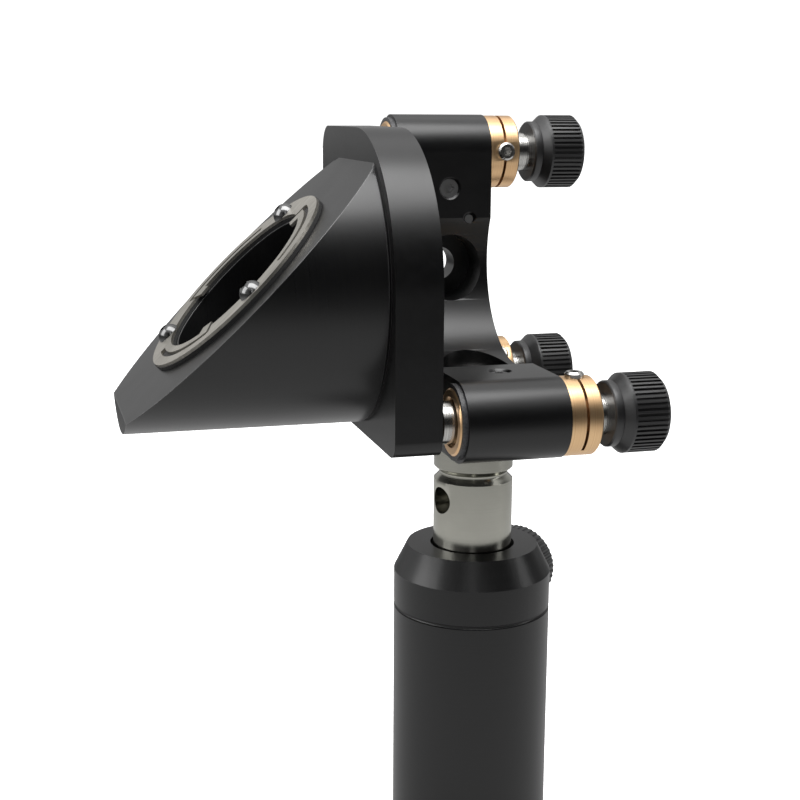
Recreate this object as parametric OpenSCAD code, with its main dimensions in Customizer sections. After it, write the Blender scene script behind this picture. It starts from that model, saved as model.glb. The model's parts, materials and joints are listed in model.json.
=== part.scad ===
// Kinematic mirror mount with a 45 degree mirror nose, three locking fine adjusters,
// a steel post and a short post holder. Millimetres, +Z up. The origin is the centre of the
// holder's bottom face, on the post axis. The adjusters run along X, knobs towards +X.

/* [Holder] */
// outer diameter of the post holder
holder_d = 25.4; // [22:0.1:32]
// height of the holder from base to rim
holder_h = 50; // [40:1:75]
// height of the conical top
holder_cone_h = 4.3; // [2:0.1:8]
// diameter of the flat rim on top
holder_rim_d = 21.1; // [18:0.2:24]
// gap round the post in the wider mouth
holder_mouth_gap = 0.45; // [0.2:0.05:1.5]
// depth of the wider mouth
holder_mouth_h = 1.2; // [0.5:0.1:4]
// distance of the decorative groove below the cone
holder_groove_drop = 5.9; // [3:0.1:12]
// thickness of the holder's floor
holder_floor = 8; // [5:0.5:14]
// diameter of the tapped hole in the base
base_thread_d = 6; // [4:0.5:8]

/* [Post] */
// diameter of the post
post_d = 12.7; // [10:0.1:16]
// length of the post
post_l = 50; // [30:1:75]
// how far the post stands out of the holder
post_out = 18.35; // [10:0.05:30]
// height of the plain band above the neck groove
post_band_h = 5.35; // [3:0.05:10]
// height of the neck groove, chamfers included
post_groove_h = 2.1; // [1:0.1:4]
// depth of the neck groove
post_groove_depth = 0.85; // [0.3:0.05:2]
// diameter of the cross hole for a tommy bar
cross_hole_d = 4.3; // [2:0.1:6]
// distance from the post's top to the cross hole
cross_hole_drop = 10.5; // [8:0.1:16]
// direction of the cross hole, seen from above
cross_hole_deg = 197; // [0:1:359]

/* [Post lock] */
// diameter of the knurled thumb wheel
wheel_d = 13.6; // [10:0.1:20]
// thickness of the thumb wheel
wheel_t = 4; // [2:0.1:8]
// gap between the holder wall and the wheel
wheel_gap = 2; // [1.6:0.1:5]
// number of teeth on the wheel
wheel_teeth = 44; // [20:1:60]
// height of the thumb wheel's axis above the base
wheel_z = 41.2; // [30:0.1:44]
// direction of the thumb screw, seen from above
wheel_deg = 45; // [0:1:359]
// diameter of the thumb screw's stud
stud_d = 5; // [3:0.5:8]

/* [Adjusters] */
// distance between adjuster axes, across and up
adj_pitch = 37.4; // [30:0.1:50]
// diameter of the fine adjuster screws
screw_d = 6.3; // [5:0.1:8]
// wall of the bronze bushing round the screw
bush_wall = 1.85; // [1.2:0.05:3]
// how far the bronze collar stands out round the bushing
collar_step = 0.95; // [0.5:0.05:3]
// length of the bronze collar
collar_l = 5; // [4:0.1:8]
// width of the saw cut in the collar
collar_slit = 0.45; // [0.2:0.05:1]
// how far the bushing stands out in front of the frame
bush_out = 1; // [0.4:0.1:1.4]
// width of the black ring round the bushing's front end
front_ring_w = 0.6; // [0.3:0.05:1.5]
// how far the black ring stands out in front of the frame
front_ring_l = 0.75; // [0.3:0.05:1.2]
// diameter of the locking screw in each collar
lock_d = 2.9; // [2:0.1:4]
// diameter of the adjuster's ball tip
ball_d = 4; // [3:0.1:5]

/* [Knobs] */
// diameter of the knurled knobs
knob_d = 12.1; // [10:0.1:18]
// diameter of the knob's neck disc
knob_neck_d = 10; // [8:0.1:14]
// gap between collar and knob, near lower adjuster
knob_gap_near = 2.3; // [1.6:0.1:6]
// gap between collar and knob, far lower adjuster
knob_gap_far = 2.2; // [1.6:0.1:6]
// gap between collar and knob, upper adjuster
knob_gap_top = 3.1; // [1.6:0.1:6]
// length of the neck disc
knob_neck_l = 1.3; // [0.6:0.1:3]
// length of the cone behind the neck disc
knob_cone_l = 1.3; // [0.5:0.1:3]
// length of the knurled part
knob_grip_l = 5.2; // [3:0.1:12]
// length of the chamfer at the knob's end
knob_end_l = 0.8; // [0.3:0.1:2]
// number of knurl grooves round a knob
knob_grooves = 48; // [24:1:72]
// depth of the knurl grooves
knob_groove_depth = 0.36; // [0.1:0.02:0.6]

/* [Frame] */
// depth of the fixed frame along the adjusters
frame_depth = 15.6; // [12:0.1:25]
// distance from the post axis to the frame's back face
frame_back = 6.6; // [5:0.1:12]
// wall of the frame's three barrels round a bushing
barrel_wall = 1.1; // [0.8:0.05:3]
// how far the round clearance cuts into the frame's legs
aperture_bite = 1.5; // [0.5:0.05:3]
// how far the round clearance sits from the optical axis, away from both legs
aperture_shift = 1.5; // [0:0.1:4]
// diameter of the counterbores for the mounting screw
cbore_d = 10.8; // [9:0.1:14]
// thickness left under a counterbore
cbore_floor = 4.5; // [3:0.1:7]
// diameter of the mounting screw
fix_d = 5; // [3:0.5:6]
// diameter of the frame's small socket screws
set_d = 3; // [2:0.1:4]
// distance of the spring axes from the optical axis
spring_off = 8; // [6:0.1:12]
// distance of the small socket screws from the optical axis
set_off = 13; // [10:0.1:16]

/* [Front plate] */
// distance from an adjuster's axis to the edge of the front plate
plate_edge = 4.25; // [3.6:0.05:10]
// thickness of the front plate
plate_t = 7; // [5:0.1:12]
// gap between the frame and the front plate
plate_gap = 3.4; // [1.5:0.1:5]
// radius of the plate's corner above the pivot
plate_corner = 4; // [1:0.5:8]
// radius of the plate's other two corners
plate_corner_small = 2.5; // [1:0.5:6]

/* [Nose] */
// diameter of the nose
nose_d = 43.2; // [36:0.2:50]
// length of the nose in front of the plate
nose_l = 36.2; // [25:0.1:50]
// height of the flat at the nose's tip
tip_h = 3.5; // [1:0.1:8]
// diameter of the mirror's seat
mirror_d = 25.6; // [20:0.1:28]
// depth of the mirror's seat
mirror_depth = 6.5; // [4:0.1:10]
// width of the shoulder that the mirror rests on
mirror_shoulder = 1.6; // [0.8:0.1:4]
// depth of the relief below the shoulder
relief_depth = 5; // [2:0.5:8]

/* [Retaining ring] */
// how far the retaining ring reaches past the mirror's seat
ring_rim = 4.4; // [3.8:0.1:6]
// thickness of the retaining ring
ring_t = 0.45; // [0.3:0.05:1]
// thickness of the black gasket under it
gasket_t = 0.5; // [0.3:0.05:1.5]
// width of the ring's solid outer band
ring_band = 1.7; // [1:0.1:3]
// width of the slots behind the spring fingers
ring_slot = 0.9; // [0.4:0.1:1.5]
// width of a spring finger
ring_finger = 1.25; // [0.8:0.05:2]
// width of the pad at each finger's end
ring_pad = 1.55; // [1:0.05:2.5]
// head diameter of the ring's screws
ring_screw_head_d = 3.6; // [3:0.1:4.5]
// thread diameter of the ring's screws
ring_screw_d = 2; // [1.5:0.1:3]

/* [Hidden] */
$fn = 48;
run_fit = 0.04;            // radial clearance of a running fit
snug = 0.01;               // radial clearance of a pressed or screwed joint
face_gap = 0.05;           // gap between faces that turn on each other
seat_gap = 0.05;           // gap between a ball and its seat
e = 0.5;                   // extra length of a cutting tool

holder_mouth_d = post_d + 2 * holder_mouth_gap;
post_top = holder_h + post_out;
post_low = post_top - post_l;
half = adj_pitch / 2;
bush_d = screw_d + 2 * bush_wall;
collar_d = bush_d + 2 * collar_step;
front_ring_d = bush_d + 2 * front_ring_w;
barrel_d = bush_d + 2 * barrel_wall;
frame_low = post_top + face_gap;          // the frame sits on the post's top
z_low = frame_low + barrel_d / 2;
axis_z = z_low + half;
z_top = axis_z + half;
// the three adjusters: near lower, far lower, far upper
near_at = [-half, z_low];
far_at = [half, z_low];
top_at = [half, z_top];

frame_front = frame_back - frame_depth;
plate_back = frame_front - plate_gap;
plate_front = plate_back - plate_t;
plate_half = half + plate_edge;
collar_end = frame_back + collar_l;
bush_front = frame_front - bush_out;

screw_front = plate_back + 0.3;           // the screws end in the gap, only their balls reach into the plate
ball_x = screw_front - 0.4;
pocket_d = ball_d + 1.5;
pocket_depth = ball_d / 2 + 2.1;
seat_floor = plate_back - pocket_depth;
seat_t = 3;
cone_reach = (ball_d / 2 + seat_gap) * sqrt(2);

stud_tip_l = 2;
stud_in = post_d / 2 + 0.15;
wheel_in = holder_d / 2 + wheel_gap;

knob_groove_w = 0.54 * PI * knob_d / knob_grooves;
fix_head_d = 8.5;
fix_head_h = 5;
fix_socket = 4;
fix_l = fix_head_h + cbore_floor + 10;
fix_clear = 0.3;
cbore_z = frame_low + cbore_floor;
side_floor_y = half + barrel_d / 2 - cbore_floor;

set_x = -0.5;
set_l = 2.4;
set_sink = 0.35;
spring_x = 2.95;
spring_bore_d = 4.6;
spring_bore_end = 5;
spring_coil_r = 1.5;
spring_wire_r = 0.25;
spring_loop_r = 1.25;
spring_pin_d = 1.4;
spring_front_x = plate_back - 3.5;
spring_pocket = 5.5;
face_in = half - barrel_d / 2;     // inner flat of the frame's two legs, from the optical axis

aperture_d = 2 * (face_in + aperture_bite + aperture_shift);

nose_tip = plate_front - nose_l;
tip_z = axis_z - nose_d / 2 + tip_h;
cut_c = nose_tip - tip_z;          // the 45 degree face is the plane x - z = cut_c
cell_x = cut_c + axis_z;
spigot_d = 30;
spigot_l = 3;
nose_screw_r = 11.5;
nose_screw_d = 4;
nose_screw_l = 9;
ring_d = mirror_d + 2 * ring_rim;
ring_screw_r = ring_d / 2 - 2.4;
ring_screw_l = 5;
dome_h = 1.4;
plate_bore_d = 12;

// a rod along X
module rod_x(d, x0, x1) { translate([x0, 0, 0]) rotate([0, 90, 0]) cylinder(d = d, h = x1 - x0); }
// a cone along X
module cone_x(d0, d1, x0, x1) { translate([x0, 0, 0]) rotate([0, 90, 0]) cylinder(d1 = d0, d2 = d1, h = x1 - x0); }
// a hexagonal socket of the given width, cut down from z = 0
module socket(width, depth) { translate([0, 0, -depth]) linear_extrude(depth + e) circle(d = width / cos(30), $fn = 6); }
// moves to an adjuster's axis
module at_axis(p) { translate([0, p[0], p[1]]) children(); }
// moves onto the 45 degree face, with z along its outward normal and x up the slope
module on_slope() { translate([cell_x, 0, axis_z]) rotate([0, -45, 0]) children(); }

// ---- post holder and its lock ----

module stud_hole() { translate([0, 0, wheel_z]) rotate([0, 0, wheel_deg]) rod_x(stud_d + 2 * run_fit, 0, holder_d / 2 + e); }

module post_holder() {
  groove_z = holder_h - holder_cone_h - holder_groove_drop;
  color("#1c1c1e") difference() {
    union() {
      cylinder(d = holder_d, h = holder_h - holder_cone_h, $fn = 96);
      translate([0, 0, holder_h - holder_cone_h]) cylinder(d1 = holder_d, d2 = holder_rim_d, h = holder_cone_h, $fn = 96);
    }
    translate([0, 0, holder_floor]) cylinder(d = post_d + 2 * run_fit, h = holder_h);
    translate([0, 0, holder_h - holder_mouth_h]) cylinder(d = holder_mouth_d, h = holder_mouth_h + e);
    translate([0, 0, -e]) cylinder(d = base_thread_d, h = holder_floor + 2 * e);
    rotate_extrude($fn = 96) translate([holder_d / 2, groove_z]) circle(r = 0.32, $fn = 16);
    rotate_extrude($fn = 96) polygon([[base_thread_d / 2 - e, -e], [base_thread_d / 2 + 0.6 + e, -e], [base_thread_d / 2 - e, 0.6 + e]]);
    rotate_extrude($fn = 96) polygon([[holder_d / 2 - 0.5 - e, -e], [holder_d / 2 + e, -e], [holder_d / 2 + e, 0.5 + e]]);
    stud_hole();
  }
}

module on_lock() { translate([0, 0, wheel_z]) rotate([0, 0, wheel_deg]) children(); }

module lock_wheel() {
  color("#232325") on_lock() difference() {
    union() {
      cone_x(wheel_d - 0.8, wheel_d, wheel_in, wheel_in + 0.4);
      rod_x(wheel_d, wheel_in + 0.4, wheel_in + wheel_t - 0.4);
      cone_x(wheel_d, wheel_d - 0.8, wheel_in + wheel_t - 0.4, wheel_in + wheel_t);
    }
    rod_x(stud_d + 2 * snug, wheel_in - e, wheel_in + wheel_t + e);
    for (i = [0 : wheel_teeth - 1]) rotate([i * 360 / wheel_teeth, 0, 0]) translate([0, wheel_d / 2 + 0.12, 0])
      rod_x(0.66, wheel_in - e, wheel_in + wheel_t + e, $fn = 16);
  }
}

module lock_stud() {
  stud_out = wheel_in + wheel_t - 0.3;
  color("#a9a9a6") on_lock() difference() {
    rod_x(stud_d, stud_in + stud_tip_l + face_gap, stud_out);
    translate([stud_out, 0, 0]) rotate([0, 90, 0]) socket(2.5, 2.5);
  }
}

module lock_tip() { color("#d8d4c6") on_lock() rod_x(stud_d - 0.2, stud_in, stud_in + stud_tip_l); }

// ---- post ----

module post() {
  groove_top = post_top - post_band_h;
  groove_low = groove_top - post_groove_h;
  neck = post_groove_depth;
  color("#9c9a92") difference() {
    translate([0, 0, post_low]) cylinder(d = post_d, h = post_l, $fn = 96);
    rotate_extrude($fn = 96) polygon([[post_d / 2 + e, groove_low], [post_d / 2, groove_low], [post_d / 2 - neck, groove_low + neck],
      [post_d / 2 - neck, groove_top - neck], [post_d / 2, groove_top], [post_d / 2 + e, groove_top]]);
    rotate_extrude($fn = 96) polygon([[post_d / 2 - 0.6, post_low - e], [post_d / 2 - 0.6, post_low], [post_d / 2, post_low + 0.6], [post_d / 2 + e, post_low + 0.6], [post_d / 2 + e, post_low - e]]);
    translate([0, 0, post_top - fix_l + fix_head_h + cbore_floor - 1]) cylinder(d = fix_d + 2 * snug, h = fix_l);
    translate([0, 0, post_low - e]) cylinder(d = fix_d + 1, h = 10 + e);
    translate([0, 0, post_top - cross_hole_drop]) rotate([0, 0, cross_hole_deg]) rod_x(cross_hole_d, -post_d, post_d);
  }
}

module fixing_screw() {
  head_z = cbore_z + face_gap;
  color("#b9b8b3") difference() {
    union() {
      translate([0, 0, head_z]) cylinder(d = fix_head_d, h = fix_head_h - 0.4);
      translate([0, 0, head_z + fix_head_h - 0.4]) cylinder(d1 = fix_head_d, d2 = fix_head_d - 0.8, h = 0.4);
      translate([0, 0, head_z - cbore_floor - 9.5]) cylinder(d = fix_d, h = cbore_floor + 9.5 + 0.1);
    }
    translate([0, 0, head_z + fix_head_h]) socket(fix_socket, 2.6);
  }
}

// ---- fixed frame ----

module frame_outline() {
  difference() {
    union() {
      for (p = [near_at, far_at, top_at]) translate(p) circle(d = barrel_d);
      translate([-half, frame_low]) square([adj_pitch, barrel_d]);
      translate([face_in, z_low]) square([barrel_d, adj_pitch]);
      // the inner corner is filled up to the round clearance
      translate([-aperture_shift, z_low]) square(half + aperture_shift);
    }
    translate([-aperture_shift, axis_z + aperture_shift]) circle(d = aperture_d, $fn = 128);
  }
}

// the two legs mirror each other about the frame's diagonal
module other_leg() { translate([0, 0, axis_z]) mirror([0, 1, 1]) translate([0, 0, -axis_z]) children(); }

module fix_bores() {
  translate([0, 0, frame_low - e]) cylinder(d = fix_d + 2 * fix_clear, h = cbore_floor + 2 * e);
  translate([0, 0, cbore_z]) cylinder(d = cbore_d, h = half);
  translate([0, 0, cbore_z + half - barrel_d / 2 - 2]) cylinder(d = cbore_d, h = 1);
}

module set_hole() {
  translate([set_x, 0, 0]) {
    translate([0, -set_off, z_low + barrel_d / 2 - set_l - set_sink]) cylinder(d = set_d + 2 * snug, h = set_l + set_sink + e);
    translate([0, -set_off, z_low + barrel_d / 2 - 0.35]) cylinder(d1 = set_d, d2 = set_d + 1.7, h = 0.85);
  }
}

module spring_room() {
  translate([0, -spring_off, z_low]) rod_x(spring_bore_d, frame_front - e, spring_bore_end);
}

module back_frame() {
  color("#161617") difference() {
    translate([frame_back, 0, 0]) rotate([90, 0, -90]) mirror([1, 0, 0]) linear_extrude(frame_depth) frame_outline();
    for (p = [near_at, far_at, top_at]) at_axis(p) rod_x(bush_d + 2 * snug, frame_front - e, frame_back + e);
    fix_bores();
    other_leg() fix_bores();
    set_hole();
    other_leg() set_hole();
    spring_room();
    other_leg() spring_room();
    // the lower spring's pin enters from below, the upper one from the leg's inner face
    translate([spring_x, -spring_off, frame_low - e]) cylinder(d = spring_pin_d + 2 * snug, h = barrel_d - 1);
    translate([spring_x, face_in - e, axis_z + spring_off]) rotate([-90, 0, 0]) cylinder(d = spring_pin_d + 2 * snug, h = barrel_d - 1);
    translate([spring_x, face_in - e, axis_z + spring_off]) rotate([-90, 0, 0]) cylinder(d1 = spring_pin_d + 1.9, d2 = spring_pin_d, h = e + 0.5);
  }
}

module frame_screw() {
  color("#a5a5a3") translate([set_x, -set_off, z_low + barrel_d / 2 - set_sink]) difference() {
    translate([0, 0, -set_l]) cylinder(d = set_d, h = set_l);
    socket(1.5, 1.3);
  }
}
module frame_screw_lower() { frame_screw(); }
module frame_screw_upper() { other_leg() frame_screw(); }

module spring_pin_lower() {
  color("#8f8f8c") translate([spring_x, -spring_off, frame_low + 0.4]) cylinder(d = spring_pin_d, h = barrel_d - 2);
}
module spring_pin_upper() {
  color("#8f8f8c") translate([spring_x, face_in + 0.4, axis_z + spring_off]) rotate([-90, 0, 0]) cylinder(d = spring_pin_d, h = barrel_d - 2);
}

// ---- springs ----

function unit(v) = v / norm(v);
function along(p, i) = unit(p[min(i + 1, len(p) - 1)] - p[max(i - 1, 0)]);
function side(p, i, s) = unit(s - (s * along(p, i)) * along(p, i));
function sides(p, i = 0, s = [0.1, 1, 0.05]) = i == len(p) ? [] : let (n = side(p, i, s)) concat([n], sides(p, i + 1, n));

module wire(p, r, n = 6) {
  s = sides(p);
  ring = [for (i = [0 : len(p) - 1]) for (k = [0 : n - 1])
    p[i] + r * cos(k * 360 / n) * s[i] + r * sin(k * 360 / n) * cross(along(p, i), s[i])];
  last = (len(p) - 1) * n;
  skin = [for (i = [0 : len(p) - 2]) for (k = [0 : n - 1]) for (t = [0, 1])
    let (a = i * n + k, b = i * n + (k + 1) % n) t == 0 ? [a, a + n, b] : [b, a + n, b + n]];
  polyhedron(ring, concat([[for (k = [0 : n - 1]) k]], skin, [[for (k = [n - 1 : -1 : 0]) last + k]]));
}

// an extension spring along X: a hook round each pin and an open coil between
module spring() {
  coil_a = spring_front_x + spring_loop_r + 1.2;
  coil_b = spring_x - spring_loop_r - 1.2;
  turns = 12;
  steps = turns * 14;
  hook_a = [for (t = [-40 : -20 : -320]) [spring_front_x + spring_loop_r * cos(t), 0, spring_loop_r * sin(t)]];
  coil = [for (i = [0 : steps]) let (t = i / steps, g = 90 + 360 * turns * t, r = spring_coil_r * min(1, 0.72 + min(t, 1 - t) * 12))
    [coil_a + (coil_b - coil_a) * t, r * cos(g), r * sin(g)]];
  hook_b = [for (t = [140 : -20 : -140]) [spring_x + spring_loop_r * cos(t), 0, spring_loop_r * sin(t)]];
  wire(concat(hook_a, coil, hook_b), spring_wire_r);
}
module spring_lower() { color("#b0afaa") translate([0, -spring_off, z_low]) rotate([90, 0, 0]) spring(); }
module spring_upper() { color("#b0afaa") translate([0, half, axis_z + spring_off]) spring(); }

// ---- adjusters ----

// which way each collar's locking screw points, from the near side towards the top
lock_near_deg = 90;
lock_far_deg = 38;
lock_top_deg = 2;

module towards(a) { rotate([-a, 0, 0]) children(); }

module bushing(p, a) {
  slit_x = frame_back + collar_l / 2;
  color("#c98d4c") at_axis(p) difference() {
    union() {
      rod_x(bush_d, bush_front + 0.3, frame_back);
      cone_x(bush_d - 0.6, bush_d, bush_front, bush_front + 0.3);
      rod_x(collar_d, frame_back, collar_end - 0.25);
      cone_x(collar_d, collar_d - 0.5, collar_end - 0.25, collar_end);
    }
    rod_x(screw_d + 2 * run_fit, bush_front - e, collar_end + e);
    cone_x(screw_d + 1.2, screw_d, bush_front - 0.01, bush_front + 0.6);
    towards(a) {
      // the saw cut leaves a bridge on the side away from the locking screw
      translate([slit_x - collar_slit / 2, -collar_d, -collar_d]) cube([collar_slit, collar_d + collar_d * 0.37, 2 * collar_d]);
      translate([slit_x, 0, 0]) rotate([90, 0, 0]) cylinder(d = lock_d + 2 * snug, h = collar_d);
    }
  }
}
module bushing_near() { bushing(near_at, lock_near_deg); }
module bushing_far() { bushing(far_at, lock_far_deg); }
module bushing_top() { bushing(top_at, lock_top_deg); }

module bushing_ring(p) {
  color("#3a3a3c") at_axis(p) difference() {
    rod_x(front_ring_d, frame_front - front_ring_l, frame_front);
    rod_x(bush_d + 2 * snug, frame_front - 1, frame_front + e);
  }
}
module bushing_ring_near() { bushing_ring(near_at); }
module bushing_ring_far() { bushing_ring(far_at); }
module bushing_ring_top() { bushing_ring(top_at); }

module collar_lock(p, a) {
  out = collar_d / 2 + 0.7;
  color("#c4c4c0") at_axis(p) towards(a) translate([frame_back + collar_l / 2, 0, 0]) rotate([90, 0, 0]) difference() {
    union() {
      translate([0, 0, screw_d / 2 + 0.15]) cylinder(d = lock_d, h = out - screw_d / 2 - 0.45);
      translate([0, 0, out - 0.3]) cylinder(d1 = lock_d, d2 = lock_d - 0.6, h = 0.3);
    }
    translate([0, 0, out]) socket(1.3, 1.2);
  }
}
module collar_lock_near() { collar_lock(near_at, lock_near_deg); }
module collar_lock_far() { collar_lock(far_at, lock_far_deg); }
module collar_lock_top() { collar_lock(top_at, lock_top_deg); }

function knob_end(gap) = collar_end + gap + knob_neck_l + knob_cone_l + knob_grip_l + knob_end_l;

module adjuster(p, gap) {
  back = knob_end(gap) - 0.4;
  color("#b5b4af") at_axis(p) difference() {
    union() {
      cone_x(screw_d - 0.6, screw_d, screw_front, screw_front + 0.3);
      rod_x(screw_d, screw_front + 0.3, back);
    }
    translate([ball_x, 0, 0]) rotate([0, 90, 0]) sphere(d = ball_d + 2 * run_fit);
    translate([back, 0, 0]) rotate([0, 90, 0]) socket(2.5, 2.6);
  }
}
module adjuster_near() { adjuster(near_at, knob_gap_near); }
module adjuster_far() { adjuster(far_at, knob_gap_far); }
module adjuster_top() { adjuster(top_at, knob_gap_top); }

module ball(p) { color("#d0cfca") at_axis(p) translate([ball_x, 0, 0]) rotate([0, 90, 0]) sphere(d = ball_d); }
module ball_near() { ball(near_at); }
module ball_far() { ball(far_at); }
module ball_top() { ball(top_at); }

module knob(p, gap) {
  x0 = collar_end + gap;
  x1 = x0 + knob_neck_l;
  x2 = x1 + knob_cone_l;
  x3 = x2 + knob_grip_l;
  x4 = x3 + knob_end_l;
  color("#1f1f21") at_axis(p) difference() {
    union() {
      cone_x(knob_neck_d - 0.5, knob_neck_d, x0, x0 + 0.25);
      rod_x(knob_neck_d, x0 + 0.25, x1);
      cone_x(knob_neck_d - 0.3, knob_d, x1, x2);
      rod_x(knob_d, x2, x3);
      cone_x(knob_d, knob_d - 1.6, x3, x4);
    }
    rod_x(screw_d + 2 * snug, x0 - e, x4 + e);
    cone_x(screw_d, screw_d + 1, x4 - 0.25, x4 + 0.25);
    for (i = [0 : knob_grooves - 1]) rotate([i * 360 / knob_grooves, 0, 0]) translate([x2 + 0.35, knob_d / 2 - knob_groove_depth, -knob_groove_w / 2])
      cube([x4 - x2 + e, knob_groove_depth + e, knob_groove_w]);
  }
}
module knob_near() { knob(near_at, knob_gap_near); }
module knob_far() { knob(far_at, knob_gap_far); }
module knob_top() { knob(top_at, knob_gap_top); }

// ---- front plate and its seats ----

module plate_outline() {
  r = plate_half;
  union() {
    circle(r = r, $fn = 128);
    difference() {
      translate([-r, -r]) square([2 * r, 2 * r]);
      translate([-r - e, 0]) square([r + e, r + e]);
      translate([-r - e, -r - e]) square([plate_corner_small + e, plate_corner_small + e]);
      translate([r - plate_corner_small, -r - e]) square([plate_corner_small + e, plate_corner_small + e]);
      translate([r - plate_corner, r - plate_corner]) square([plate_corner + e, plate_corner + e]);
    }
    translate([-r + plate_corner_small, -r + plate_corner_small]) circle(r = plate_corner_small);
    translate([r - plate_corner_small, -r + plate_corner_small]) circle(r = plate_corner_small);
    translate([r - plate_corner, r - plate_corner]) circle(r = plate_corner);
  }
}

function nose_screw_at(i) = [nose_screw_r * cos(90 + 120 * i), axis_z + nose_screw_r * sin(90 + 120 * i)];

module front_plate() {
  color("#1a1a1b") difference() {
    translate([plate_back, 0, axis_z]) rotate([90, 0, -90]) mirror([1, 0, 0]) linear_extrude(plate_t) plate_outline();
    for (p = [near_at, far_at, top_at]) at_axis(p) rod_x(pocket_d, seat_floor, plate_back + e);
    for (s = [[-spring_off, z_low], [half, axis_z + spring_off]]) at_axis(s) rod_x(spring_bore_d + 0.4, plate_back - spring_pocket, plate_back + e);
    // holes for the two spring pins, from the bottom edge and from the far edge
    translate([spring_front_x, -spring_off, axis_z - plate_half - e]) cylinder(d = spring_pin_d + 2 * snug, h = z_low - axis_z + plate_half + 4.5);
    translate([spring_front_x, plate_half + e, axis_z + spring_off]) rotate([90, 0, 0]) cylinder(d = spring_pin_d + 2 * snug, h = plate_half - half + 4.5);
    translate([0, 0, axis_z]) rod_x(spigot_d + 2 * snug, plate_front - e, plate_front + spigot_l);
    translate([0, 0, axis_z]) rod_x(plate_bore_d, plate_front, plate_back + e);
    for (i = [0 : 2]) at_axis(nose_screw_at(i)) {
      rod_x(nose_screw_d + 0.2, plate_front, plate_back + e);
      cone_x(nose_screw_d + 0.1, 2 * nose_screw_d + 1.1, plate_back - nose_screw_d / 2, plate_back + 0.5);
    }
  }
}

module seat_disc() { rod_x(pocket_d - 2 * snug, seat_floor, seat_floor + seat_t); }
module cone_seat() {
  apex = ball_x - cone_reach;
  color("#c2c1bc") at_axis(far_at) difference() {
    seat_disc();
    cone_x(0, 2 * (seat_floor + seat_t + e - apex), apex, seat_floor + seat_t + e);
  }
}
module vee_seat() {
  color("#c2c1bc") at_axis(near_at) difference() {
    seat_disc();
    translate([ball_x - cone_reach, 0, 0]) rotate([0, 45, 0]) translate([0, -pocket_d, 0]) cube([pocket_d, 2 * pocket_d, pocket_d]);
  }
}
module flat_seat() {
  color("#c2c1bc") at_axis(top_at) rod_x(pocket_d - 2 * snug, seat_floor, ball_x - ball_d / 2 - seat_gap);
}

module plate_pin_lower() {
  color("#8f8f8c") translate([spring_front_x, -spring_off, axis_z - plate_half + 0.4]) cylinder(d = spring_pin_d, h = z_low - axis_z + plate_half + 3.4);
}
module plate_pin_upper() {
  color("#8f8f8c") translate([spring_front_x, plate_half - 0.4, axis_z + spring_off]) rotate([90, 0, 0]) cylinder(d = spring_pin_d, h = plate_half - half + 3.4);
}

// ---- nose ----

module nose() {
  color("#1d1d1e") difference() {
    union() {
      translate([0, 0, axis_z]) rod_x(nose_d, nose_tip, plate_front - 0.5, $fn = 128);
      translate([0, 0, axis_z]) rod_x(nose_d - 0.7, plate_front - 0.5, plate_front, $fn = 128);
      translate([0, 0, axis_z]) rod_x(spigot_d, plate_front, plate_front + spigot_l - 0.1);
    }
    on_slope() translate([0, 0, nose_d]) cube([4 * nose_d, 4 * nose_d, 2 * nose_d], center = true);
    on_slope() {
      translate([0, 0, -mirror_depth]) cylinder(d = mirror_d, h = mirror_depth + e, $fn = 96);
      translate([0, 0, -mirror_depth - relief_depth]) cylinder(d = mirror_d - 2 * mirror_shoulder, h = relief_depth + e, $fn = 96);
      for (i = [0 : 2]) rotate([0, 0, screw_deg(i)]) translate([ring_screw_r, 0, -ring_screw_l]) cylinder(d = ring_screw_d + 2 * snug, h = ring_screw_l + e);
    }
    for (i = [0 : 2]) at_axis(nose_screw_at(i)) rod_x(nose_screw_d + 2 * snug, plate_back - nose_screw_l - 1, plate_front + spigot_l + e);
  }
}

module nose_screws() {
  color("#3b3b3c") for (i = [0 : 2]) at_axis(nose_screw_at(i)) difference() {
    union() {
      rod_x(nose_screw_d, plate_back - nose_screw_l, plate_back - nose_screw_d / 2);
      cone_x(nose_screw_d, 2 * nose_screw_d - 0.4, plate_back - nose_screw_d / 2, plate_back - 0.2);
    }
    translate([plate_back - 0.2, 0, 0]) rotate([0, 90, 0]) socket(2.5, 1.8);
  }
}

// ---- retaining ring ----

// where the screws and the fingers lie, measured from the top of the slope towards the near side
function screw_deg(i) = -(90 + 120 * i);
finger_tip_deg = 35;
finger_len_deg = 62;

module ring_gasket() {
  color("#0d0d0e") on_slope() difference() {
    cylinder(d = ring_d + 0.3, h = gasket_t, $fn = 96);
    translate([0, 0, -e]) cylinder(d = mirror_d + 1, h = gasket_t + 2 * e, $fn = 96);
    for (i = [0 : 2]) rotate([0, 0, screw_deg(i)]) translate([ring_screw_r, 0, -e]) cylinder(d = ring_screw_d + 0.1, h = gasket_t + 2 * e);
  }
}

// part of a flat annulus between two directions
module sector(r0, r1, a0, a1) {
  intersection() {
    difference() {
      circle(r = r1, $fn = 96);
      circle(r = r0, $fn = 96);
    }
    polygon([[0, 0], 2 * r1 * [cos(a0), sin(a0)], 2.5 * r1 * [cos((a0 + a1) / 2), sin((a0 + a1) / 2)], 2 * r1 * [cos(a1), sin(a1)]]);
  }
}

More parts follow.
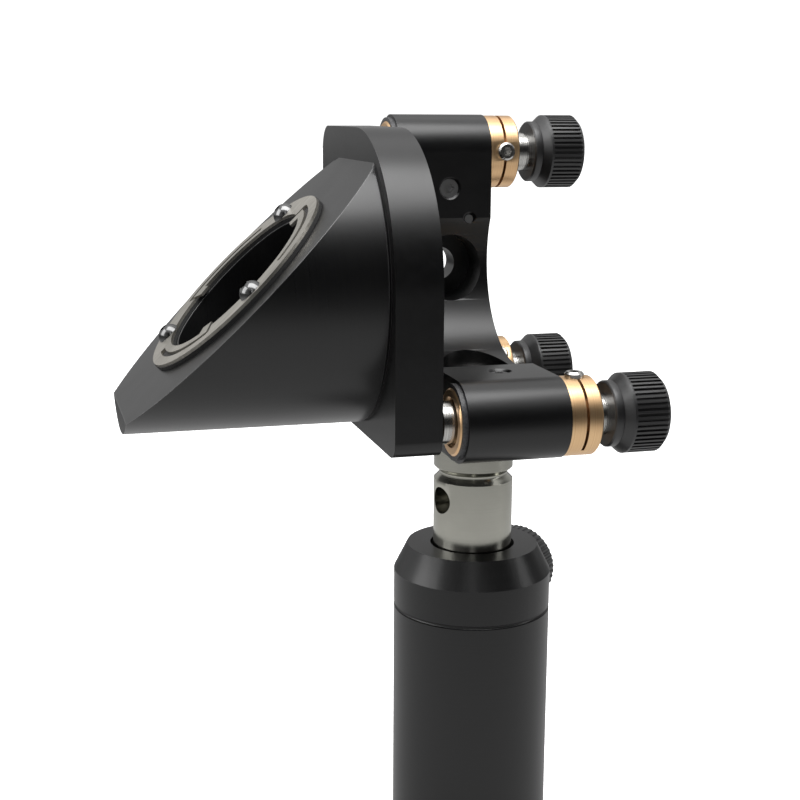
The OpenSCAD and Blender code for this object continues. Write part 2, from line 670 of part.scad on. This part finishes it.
module ring_outline() {
  r_out = ring_d / 2;
  r_slot = r_out - ring_band;
  r_finger = r_slot - ring_slot;
  r_in = r_finger - ring_finger;
  difference() {
    union() {
      difference() {
        circle(r = r_out, $fn = 96);
        circle(r = r_in, $fn = 96);
      }
      for (i = [0 : 2]) sector(r_in - ring_pad, r_in + 0.2, screw_deg(i) - finger_tip_deg - 9, screw_deg(i) - finger_tip_deg + 1);
    }
    for (i = [0 : 2]) {
      tip = screw_deg(i) - finger_tip_deg;
      sector(r_finger, r_slot, tip - finger_len_deg, tip + 1.5);
      sector(r_in - ring_pad - 0.5, r_slot - 0.15, tip, tip + 3);
      rotate(screw_deg(i)) translate([ring_screw_r, 0]) circle(d = ring_screw_d + 0.1);
    }
  }
}

module retaining_ring() { color("#b7b4a9") on_slope() translate([0, 0, gasket_t]) linear_extrude(ring_t) ring_outline(); }

module ring_screw(i) {
  head_r = ring_screw_head_d / 2;
  dome_r = (head_r * head_r + dome_h * dome_h) / (2 * dome_h);
  color("#c9c8c4") on_slope() rotate([0, 0, screw_deg(i)]) translate([ring_screw_r, 0, gasket_t + ring_t]) difference() {
    union() {
      rotate_extrude() intersection() {
        translate([0, dome_h - dome_r]) circle(r = dome_r, $fn = 96);
        square([head_r, dome_h]);
      }
      translate([0, 0, -gasket_t - ring_t - ring_screw_l + 0.5]) cylinder(d = ring_screw_d, h = ring_screw_l + gasket_t + ring_t - 0.4);
    }
    translate([0, 0, dome_h]) socket(1.2, 0.9);
  }
}
module ring_screw_near() { ring_screw(0); }
module ring_screw_low() { ring_screw(1); }
module ring_screw_high() { ring_screw(2); }

post_holder();
lock_wheel();
lock_stud();
lock_tip();
post();
fixing_screw();
back_frame();
bushing_near();
bushing_far();
bushing_top();
bushing_ring_near();
bushing_ring_far();
bushing_ring_top();
collar_lock_near();
collar_lock_far();
collar_lock_top();
frame_screw_upper();
frame_screw_lower();
spring_pin_upper();
spring_pin_lower();
spring_upper();
spring_lower();
adjuster_near();
adjuster_far();
adjuster_top();
ball_near();
ball_far();
ball_top();
knob_near();
knob_far();
knob_top();
front_plate();
cone_seat();
vee_seat();
flat_seat();
plate_pin_upper();
plate_pin_lower();
nose();
nose_screws();
ring_gasket();
retaining_ring();
ring_screw_near();
ring_screw_low();
ring_screw_high();
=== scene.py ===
import json
import math
import bpy
from mathutils import Matrix, Vector


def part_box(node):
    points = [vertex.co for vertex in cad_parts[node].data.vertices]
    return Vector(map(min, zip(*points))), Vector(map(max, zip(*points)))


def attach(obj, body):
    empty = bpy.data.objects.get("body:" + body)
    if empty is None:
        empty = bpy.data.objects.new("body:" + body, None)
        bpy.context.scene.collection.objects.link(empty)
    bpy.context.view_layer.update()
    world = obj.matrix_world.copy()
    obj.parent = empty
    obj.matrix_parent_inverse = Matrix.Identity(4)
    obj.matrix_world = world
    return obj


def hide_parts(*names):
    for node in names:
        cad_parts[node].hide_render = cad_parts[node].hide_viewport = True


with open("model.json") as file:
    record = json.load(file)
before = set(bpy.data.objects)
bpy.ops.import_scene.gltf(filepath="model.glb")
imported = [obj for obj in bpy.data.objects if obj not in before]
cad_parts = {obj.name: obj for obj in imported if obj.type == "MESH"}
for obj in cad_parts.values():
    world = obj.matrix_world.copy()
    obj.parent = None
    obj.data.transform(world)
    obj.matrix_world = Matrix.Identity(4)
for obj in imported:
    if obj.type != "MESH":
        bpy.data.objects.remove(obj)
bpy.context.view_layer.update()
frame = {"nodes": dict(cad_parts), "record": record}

nodes = frame["nodes"]
record = frame["record"]
bodyOf = {node: body for body, group in record["behaviour"]["bodies"].items() for node in group}
adjusters = ("near", "far", "top")
mm = 0.001


class Wire:
    # an output socket of a shader node, with maths written as operators
    def __init__(self, graph, socket):
        self.graph, self.socket = graph, socket

    def to(self, operation, other):
        return self.graph.node("ShaderNodeMath", {"operation": operation}, {0: self, 1: other})

    def back(self, operation, other):
        return self.graph.node("ShaderNodeMath", {"operation": operation}, {0: other, 1: self})

    def __add__(self, other): return self.to("ADD", other)
    def __sub__(self, other): return self.to("SUBTRACT", other)
    def __mul__(self, other): return self.to("MULTIPLY", other)
    def __pow__(self, other): return self.to("POWER", other)
    def __radd__(self, other): return self.back("ADD", other)
    def __rsub__(self, other): return self.back("SUBTRACT", other)
    def __rmul__(self, other): return self.back("MULTIPLY", other)
    def __neg__(self): return self.to("MULTIPLY", -1.0)

    def between(self, low, high, newLow=0.0, newHigh=1.0):
        # a soft step from newLow at low to newHigh at high
        return self.graph.node("ShaderNodeMapRange", {"interpolation_type": "SMOOTHSTEP"}, {
            "Value": self, "From Min": low, "From Max": high, "To Min": newLow, "To Max": newHigh})


class Graph:
    # the node tree of a material or of the world
    def __init__(self, tree):
        self.tree = tree

    def node(self, kind, settings=None, inputs=None, output=0):
        made = self.tree.nodes.new(kind)
        for key, value in (settings or {}).items():
            setattr(made, key, value)
        for key, value in (inputs or {}).items():
            self.plug(made.inputs[key], value)
        return Wire(self, made.outputs[output])

    def plug(self, socket, value):
        if isinstance(value, Wire):
            self.tree.links.new(value.socket, socket)
        elif socket.type == "RGBA" and len(value) == 3:
            socket.default_value = (*value, 1.0)
        else:
            socket.default_value = value

    def axes(self, kind="Object"):
        place = self.tree.nodes.new("ShaderNodeTexCoord").outputs[kind]
        split = self.tree.nodes.new("ShaderNodeSeparateXYZ")
        self.tree.links.new(place, split.inputs[0])
        return Wire(self, place), [Wire(self, out) for out in split.outputs]

    def noise(self, where, scale, detail=3.0, roughness=0.55, stretch=(1.0, 1.0, 1.0)):
        spot = self.node("ShaderNodeMapping", None, {"Vector": where, "Scale": stretch})
        return self.node("ShaderNodeTexNoise", None, {
            "Vector": spot, "Scale": scale, "Detail": detail, "Roughness": roughness})

    def lines(self, along, pitch):
        # uneven tool marks across a direction, a pitch apart
        return self.node("ShaderNodeTexNoise", {"noise_dimensions": "1D"}, {
            "W": along * (1.0 / pitch), "Scale": 1.0, "Detail": 2.0, "Roughness": 0.6})

    def mix(self, share, first, second):
        inputs = {0: share, 6: first, 7: second}        # a Mix node's colour sockets
        return self.node("ShaderNodeMix", {"data_type": "RGBA", "blend_type": "MIX"}, inputs, 2)

    def bump(self, height, strength, distance):
        return self.node("ShaderNodeBump", None, {
            "Height": height, "Strength": strength, "Distance": distance})


def turnedCoordinate(axes, axis, centre):
    # along the axis on a turned side and outwards on a turned end, so marks are rings on both
    flat = [axes[i] - centre[i] for i in range(3) if i != axis]
    radius = (flat[0] * flat[0] + flat[1] * flat[1]) ** 0.5
    return axes[axis] + radius


# what a finish has unless its own row says otherwise; scales are per metre, depths in metres
usualLook = {
    "markTint": 0.3, "markScale": 900.0, "markStretch": (1.0, 1.0, 1.0), "markRough": 0.1,
    "markDepth": 0.5, "grainScale": 5200.0, "grainRough": 0.05, "grainDepth": 0.5,
    "cloudScale": 90.0, "smudge": 0.12, "wander": 0.00003, "patinaScale": 420.0,
    "patinaShare": 0.5, "bump": 0.2, "bumpDepth": 0.00002, "metal": 0.0, "gloss": 0.5,
}


def finish(name, row):
    # one metal, rubber or plastic finish: colour, gloss, tool marks, grain and smudges
    look = {**usualLook, **row}
    material = bpy.data.materials.new(name)
    material.use_nodes = True
    graph = Graph(material.node_tree)
    shader = material.node_tree.nodes["Principled BSDF"].inputs
    where, axes = graph.axes()
    cloud = graph.noise(where, look["cloudScale"], 4.0)
    grain = graph.noise(where, look["grainScale"], 2.0, 0.6)
    if "turned" in look:
        along = turnedCoordinate(axes, *look["turned"])
        marks = graph.lines(along + look["wander"] * cloud, look["markPitch"])
    else:
        marks = graph.noise(where, look["markScale"], 3.0, 0.6, look["markStretch"])
    colour = graph.mix(cloud.between(0.25, 0.75), look["dark"], look["light"])
    markShare = marks.between(0.3, 0.75) * look["markTint"]
    colour = graph.mix(markShare, colour, look["markColour"])
    if "patina" in look:
        spots = graph.noise(where, look["patinaScale"], 5.0, 0.7).between(0.58, 0.8)
        colour = graph.mix(spots * look["patinaShare"], colour, look["patina"])
    graph.plug(shader["Base Color"], colour)
    rough = look["rough"] + (cloud - 0.5) * look["smudge"] + (marks - 0.5) * look["markRough"]
    graph.plug(shader["Roughness"], rough + (grain - 0.5) * look["grainRough"])
    height = marks * look["markDepth"] + grain * look["grainDepth"]
    graph.plug(shader["Normal"], graph.bump(height, look["bump"], look["bumpDepth"]))
    shader["Metallic"].default_value = look["metal"]
    shader["Specular IOR Level"].default_value = look["gloss"]
    material.diffuse_color = (*look["light"], 1.0)
    return material


# the lines that pieces are turned on: an axis and a point on it
postLine = (2, (0.0, 0.0, 0.0))
lowest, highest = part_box("nose")
noseLine = (0, (0.0, 0.0, (lowest.z + highest.z) / 2))
adjusterLine = {}
for place in adjusters:
    lowest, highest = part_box("ball_" + place)
    adjusterLine[place] = (0, (0.0, (lowest.y + highest.y) / 2, (lowest.z + highest.z) / 2))

anodised = {
    "dark": (0.001, 0.001, 0.0012), "light": (0.0022, 0.0022, 0.0024),
    "markColour": (0.005, 0.005, 0.0055), "markTint": 0.4, "rough": 0.31, "smudge": 0.08,
    "markRough": 0.04, "gloss": 0.55, "grainDepth": 0.6, "markDepth": 0.35,
    "bump": 0.3, "bumpDepth": 0.00001}
looks = {
    "frameBlack": {**anodised, "markScale": 700.0, "markStretch": (0.25, 1.0, 1.0)},
    "holderBlack": {**anodised, "turned": postLine, "markPitch": 0.00022, "rough": 0.34},
    "noseBlack": {**anodised, "turned": noseLine, "markPitch": 0.00025, "rough": 0.3},
    "plateBlack": {
        **anodised, "markScale": 800.0, "markStretch": (1.0, 0.3, 1.0), "rough": 0.3},
    # lighter faces on the holder and nose bevels: partly edge wear, partly a painted highlight
    # along the edges
    "wornEdgeAndHighlight": {
        **anodised, "dark": (0.03, 0.03, 0.031), "light": (0.07, 0.07, 0.071),
        "markColour": (0.12, 0.12, 0.12), "rough": 0.33, "gloss": 0.6},
    "knobBlack": {
        **anodised, "dark": (0.008, 0.008, 0.0085), "light": (0.014, 0.014, 0.0145),
        "rough": 0.36, "gloss": 0.8},
    # lighter faces on the knob and wheel ridges: partly wear, partly a painted highlight along the
    # ridges
    "knobEdge": {
        **anodised, "dark": (0.02, 0.02, 0.0205), "light": (0.035, 0.035, 0.036),
        "rough": 0.34, "gloss": 0.9},
    "postSteel": {
        "dark": (0.42, 0.415, 0.365), "light": (0.52, 0.515, 0.46),
        "markColour": (0.37, 0.365, 0.32), "markTint": 0.15, "turned": postLine,
        "markPitch": 0.00016, "rough": 0.2, "smudge": 0.08, "markRough": 0.04, "metal": 1.0,
        "bump": 0.12, "bumpDepth": 0.000004, "grainDepth": 0.1, "markDepth": 1.0},
    "brightSteel": {
        "dark": (0.55, 0.54, 0.52), "light": (0.68, 0.67, 0.65),
        "markColour": (0.4, 0.39, 0.38), "rough": 0.2, "smudge": 0.1, "metal": 1.0,
        "markScale": 1500.0, "bumpDepth": 0.00001},
    "ringSteel": {
        "dark": (0.46, 0.44, 0.39), "light": (0.6, 0.575, 0.52),
        "markColour": (0.28, 0.265, 0.235), "markTint": 0.55, "rough": 0.38, "smudge": 0.14,
        "metal": 1.0, "markScale": 1600.0, "markStretch": (0.2, 1.0, 0.2), "markRough": 0.2,
        "bump": 0.4, "bumpDepth": 0.00001},
    "pinSteel": {
        "dark": (0.3, 0.3, 0.3), "light": (0.42, 0.42, 0.42), "markColour": (0.3, 0.3, 0.3),
        "rough": 0.3, "metal": 1.0},
    "domeSteel": {
        "dark": (0.11, 0.11, 0.11), "light": (0.17, 0.17, 0.17),
        "markColour": (0.08, 0.08, 0.08), "rough": 0.16, "smudge": 0.08, "metal": 1.0,
        "markScale": 1500.0, "bump": 0.15, "bumpDepth": 0.00001},
    "springSteel": {
        "dark": (0.38, 0.38, 0.37), "light": (0.55, 0.54, 0.52),
        "markColour": (0.25, 0.25, 0.24), "rough": 0.28, "metal": 1.0},
    "blackSteel": {
        "dark": (0.012, 0.012, 0.013), "light": (0.03, 0.03, 0.032),
        "markColour": (0.09, 0.09, 0.095), "markTint": 0.6, "rough": 0.42,
        "markScale": 2600.0, "grainScale": 2400.0, "grainRough": 0.3, "gloss": 0.6,
        "bump": 0.8, "bumpDepth": 0.00004},
    "gasketRubber": {
        "dark": (0.007, 0.007, 0.007), "light": (0.014, 0.014, 0.014),
        "markColour": (0.02, 0.02, 0.02), "rough": 0.75, "grainScale": 3000.0,
        "bump": 0.5, "bumpDepth": 0.00003},
    "nylonWhite": {
        "dark": (0.68, 0.66, 0.58), "light": (0.78, 0.76, 0.69),
        "markColour": (0.6, 0.58, 0.5), "rough": 0.5, "grainScale": 2500.0},
}
for place in adjusters:        # a finish for each adjuster, so its tool marks ring its own axis
    looks["bronze." + place] = {
        "dark": (0.78, 0.50, 0.27), "light": (0.92, 0.64, 0.36),
        "markColour": (0.66, 0.38, 0.19), "markTint": 0.4, "turned": adjusterLine[place],
        "markPitch": 0.00018, "rough": 0.33, "smudge": 0.06, "markRough": 0.08, "metal": 1.0,
        "bump": 0.25, "bumpDepth": 0.00001, "markDepth": 1.0, "grainDepth": 0.1,
        "patina": (0.55, 0.3, 0.13), "patinaScale": 160.0, "patinaShare": 0.2}
    looks["screwSteel." + place] = {
        "dark": (0.5, 0.49, 0.47), "light": (0.66, 0.65, 0.62),
        "markColour": (0.25, 0.25, 0.24), "markTint": 0.5, "turned": adjusterLine[place],
        "markPitch": 0.00025, "rough": 0.2, "metal": 1.0, "bump": 0.6,
        "bumpDepth": 0.00003, "markDepth": 1.0, "grainDepth": 0.15}
metals = {name: finish(name, look) for name, look in looks.items()}
print("finishes:", len(metals))


def pick(*chosen):
    if bpy.context.mode != "OBJECT":
        bpy.ops.object.mode_set(mode="OBJECT")
    bpy.ops.object.select_all(action="DESELECT")
    for item in chosen:
        item.select_set(True)
    bpy.context.view_layer.objects.active = chosen[0] if chosen else None


def paint(piece, *names):
    piece.data.materials.clear()
    for name in names:
        piece.data.materials.append(metals[name])


# how a fine piece is cleaned and its edges broken: lengths in metres, angles in degrees
fineWork = {"mergeWithin": 0.000001, "flatWithin": 0.4, "edgeFrom": 24.0, "edgeSegments": 2,
            "smoothUpTo": 30.0, "faceWeight": 80}


def brokenEdges(node, colour, edgeColour, width):
    # a merged copy of a CAD node whose sharp edges are broken by a small bevel
    piece = bpy.data.objects.new(node + "_fine", nodes[node].data.copy())
    bpy.context.scene.collection.objects.link(piece)
    pick(piece)
    bpy.ops.object.mode_set(mode="EDIT")
    bpy.ops.mesh.select_all(action="SELECT")
    bpy.ops.mesh.remove_doubles(threshold=fineWork["mergeWithin"])
    bpy.ops.mesh.dissolve_limited(angle_limit=math.radians(fineWork["flatWithin"]))
    bpy.ops.object.mode_set(mode="OBJECT")
    paint(piece, colour, edgeColour)
    for face in piece.data.polygons:
        face.material_index = 0
    bevel = piece.modifiers.new("brokenEdge", "BEVEL")
    bevel.width = width
    bevel.segments = fineWork["edgeSegments"]
    bevel.limit_method = "ANGLE"
    bevel.angle_limit = math.radians(fineWork["edgeFrom"])
    bevel.miter_outer = "MITER_ARC"
    bevel.use_clamp_overlap = True
    bevel.material = 1        # the new faces take the second finish; where it is lighter, that is partly edge wear and partly a painted highlight
    bpy.ops.object.modifier_apply(modifier=bevel.name)
    bpy.ops.object.shade_smooth_by_angle(angle=math.radians(fineWork["smoothUpTo"]))
    even = piece.modifiers.new("evenShading", "WEIGHTED_NORMAL")
    even.keep_sharp = True
    even.weight = fineWork["faceWeight"]
    bpy.ops.object.modifier_apply(modifier=even.name)
    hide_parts(node)
    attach(piece, bodyOf[node])
    return piece


# for each node its finish, its edges' finish, and the width of its bevels in millimetres; a
# lighter edges' finish is partly edge wear and partly a painted highlight
fineNodes = {
    "post_holder": ("holderBlack", "wornEdgeAndHighlight", 0.16),
    "front_plate": ("plateBlack", "plateBlack", 0.3),
    "nose": ("noseBlack", "wornEdgeAndHighlight", 0.1),
    "back_frame": ("frameBlack", "frameBlack", 0.35),
    "post": ("postSteel", "postSteel", 0.14),
    "fixing_screw": ("brightSteel", "brightSteel", 0.15),
    **{"bushing_" + place: ("bronze." + place, "bronze." + place, 0.08) for place in adjusters},
    # knob and wheel edges take the lighter finish: partly wear, partly a painted highlight
    **{"knob_" + place: ("knobBlack", "knobEdge", 0.05) for place in adjusters},
    "lock_wheel": ("knobBlack", "knobEdge", 0.05),
}
for node, (colour, edgeColour, width) in fineNodes.items():
    piece = brokenEdges(node, colour, edgeColour, width * mm)
    print("fine piece", piece.name, len(piece.data.polygons), "faces")

# the CAD nodes that keep their own shape, by finish
plainNodes = {
    "brightSteel": ["lock_stud", "cone_seat", "vee_seat", "flat_seat"]
    + ["collar_lock_" + place for place in adjusters] + ["ball_" + place for place in adjusters],
    "blackSteel": ["nose_screws"] + ["bushing_ring_" + place for place in adjusters],
    "pinSteel": ["frame_screw_upper", "frame_screw_lower", "spring_pin_upper",
                 "spring_pin_lower", "plate_pin_upper", "plate_pin_lower"],
    "domeSteel": ["ring_screw_near", "ring_screw_low", "ring_screw_high"],
    "springSteel": ["spring_upper", "spring_lower"],
    "ringSteel": ["retaining_ring"],
    "gasketRubber": ["ring_gasket"],
    "nylonWhite": ["lock_tip"],
    **{"screwSteel." + place: ["adjuster_" + place] for place in adjusters},
}
for colour, group in plainNodes.items():
    for node in group:
        paint(nodes[node], colour)
painted = {node for group in plainNodes.values() for node in group}
left = sorted(set(nodes) - painted - set(fineNodes))
print("painted", len(painted), "nodes, without a finish:", left)


studio = {
    "floorSize": 8.0, "paperDark": (0.88, 0.88, 0.88), "paperLight": (0.9, 0.9, 0.9),
    "paperGrain": 40.0, "paperRough": 0.9, "paperShade": (0.12, 0.12, 0.12), "floorGlow": 0.84,
    "bounce": 0.5, "bounceNear": 0.1, "bounceFar": 0.4, "bounceLeast": 0.02,
    "skyLow": 0.015, "skyBack": 0.45, "skyLeft": 0.36, "skyTop": 0.9, "skySeen": 1.15,
}


def buildFloor():
    # white paper to the eye but dim to the part, with less bounce further away
    pick()
    bpy.ops.mesh.primitive_plane_add(size=studio["floorSize"], location=(0.0, 0.0, 0.0))
    floor = bpy.context.active_object
    floor.name = "studioFloor"
    paper = bpy.data.materials.new("studioPaper")
    paper.use_nodes = True
    graph = Graph(paper.node_tree)
    shader = paper.node_tree.nodes["Principled BSDF"].inputs
    where, axes = graph.axes()
    seen = graph.node("ShaderNodeLightPath")
    grain = graph.noise(where, studio["paperGrain"])
    tone = graph.mix(grain, studio["paperDark"], studio["paperLight"])
    graph.plug(shader["Base Color"], graph.mix(seen, studio["paperShade"], tone))
    shader["Roughness"].default_value = studio["paperRough"]
    shader["Specular IOR Level"].default_value = 0.0
    away = (axes[0] * axes[0] + axes[1] * axes[1]) ** 0.5
    bounce = away.between(studio["bounceNear"], studio["bounceFar"],
                          studio["bounce"], studio["bounceLeast"])
    level = seen * studio["floorGlow"] + (1 - seen) * bounce
    glow = graph.node("ShaderNodeCombineColor", None, {0: level, 1: level, 2: level})
    graph.plug(shader["Emission Color"], glow)
    shader["Emission Strength"].default_value = 1.0
    floor.data.materials.append(paper)


def buildSky():
    # white to the eye; to the part dark on its near side, bright above, behind and to the left
    world = bpy.data.worlds.new("studioLight")
    bpy.context.scene.world = world
    world.use_nodes = True
    graph = Graph(world.node_tree)
    background = world.node_tree.nodes["Background"].inputs
    axes = graph.axes("Generated")[1]
    back = axes[1].between(-0.1, 0.7) * studio["skyBack"]
    side = (-axes[0]).between(0.35, 0.95) * studio["skyLeft"]
    top = axes[2].between(0.5, 0.85) * studio["skyTop"]
    soft = studio["skyLow"] + back + side + top
    seen = graph.node("ShaderNodeLightPath")
    graph.plug(background["Strength"], soft + seen * (studio["skySeen"] - soft))
    background["Color"].default_value = (1.0, 1.0, 1.0, 1.0)


# soft boxes: places, aims and sizes in metres, power in watts
lamps = {
    "overhead": {
        "at": (-0.04, -0.06, 0.55), "aim": (0.0, 0.0, 0.09), "size": (0.5, 0.36), "power": 2.9},
    "leftWall": {
        "at": (-0.6, 0.04, 0.36), "aim": (-0.03, 0.0, 0.09), "size": (0.4, 0.5), "power": 2.4},
    "rightEdge": {
        "at": (0.42, -0.16, 0.16), "aim": (0.0, 0.0, 0.06), "size": (0.1, 0.5), "power": 0.4},
    "nearStrip": {
        "at": (-0.16, -0.5, 0.3), "aim": (0.0, 0.0, 0.07), "size": (0.05, 0.5), "power": 0.16},
}


def buildLamps():
    for name, lamp in lamps.items():
        data = bpy.data.lights.new(name, "AREA")
        data.shape = "RECTANGLE"
        data.size, data.size_y = lamp["size"]
        data.energy = lamp["power"]
        item = bpy.data.objects.new(name, data)
        bpy.context.scene.collection.objects.link(item)
        item.location = lamp["at"]
        aim = Vector(lamp["aim"]) - Vector(lamp["at"])
        item.rotation_euler = aim.to_track_quat("-Z", "Y").to_euler()
        item.visible_camera = False


# place and reach in metres, angles in degrees, lens and sensor in millimetres
view = {"at": (-0.07007, -0.20666, 0.11891), "turn": 15.618, "down": 11.79, "roll": 0.308,
        "lens": 62.85, "sensor": 36.0, "nearest": 0.01, "farthest": 20.0}


def buildCamera():
    turn, down, roll = (math.radians(view[key]) for key in ("turn", "down", "roll"))
    forward = Vector((math.sin(turn) * math.cos(down), math.cos(turn) * math.cos(down),
                      -math.sin(down)))
    level = Vector((math.cos(turn), -math.sin(turn), 0.0))
    rise = level.cross(forward)
    right = math.cos(roll) * level + math.sin(roll) * rise
    up = -math.sin(roll) * level + math.cos(roll) * rise
    data = bpy.data.cameras.new("studioCamera")
    data.sensor_width = view["sensor"]
    data.lens = view["lens"]
    data.clip_start = view["nearest"]
    data.clip_end = view["farthest"]
    camera = bpy.data.objects.new("studioCamera", data)
    bpy.context.scene.collection.objects.link(camera)
    rows = [(right[i], up[i], -forward[i], view["at"][i]) for i in range(3)]
    camera.matrix_world = Matrix((*rows, (0.0, 0.0, 0.0, 1.0)))
    bpy.context.scene.camera = camera


buildFloor()
buildSky()
buildLamps()
buildCamera()
bpy.context.scene.view_settings.view_transform = "Standard"
print("studio, lamps and camera are in place")
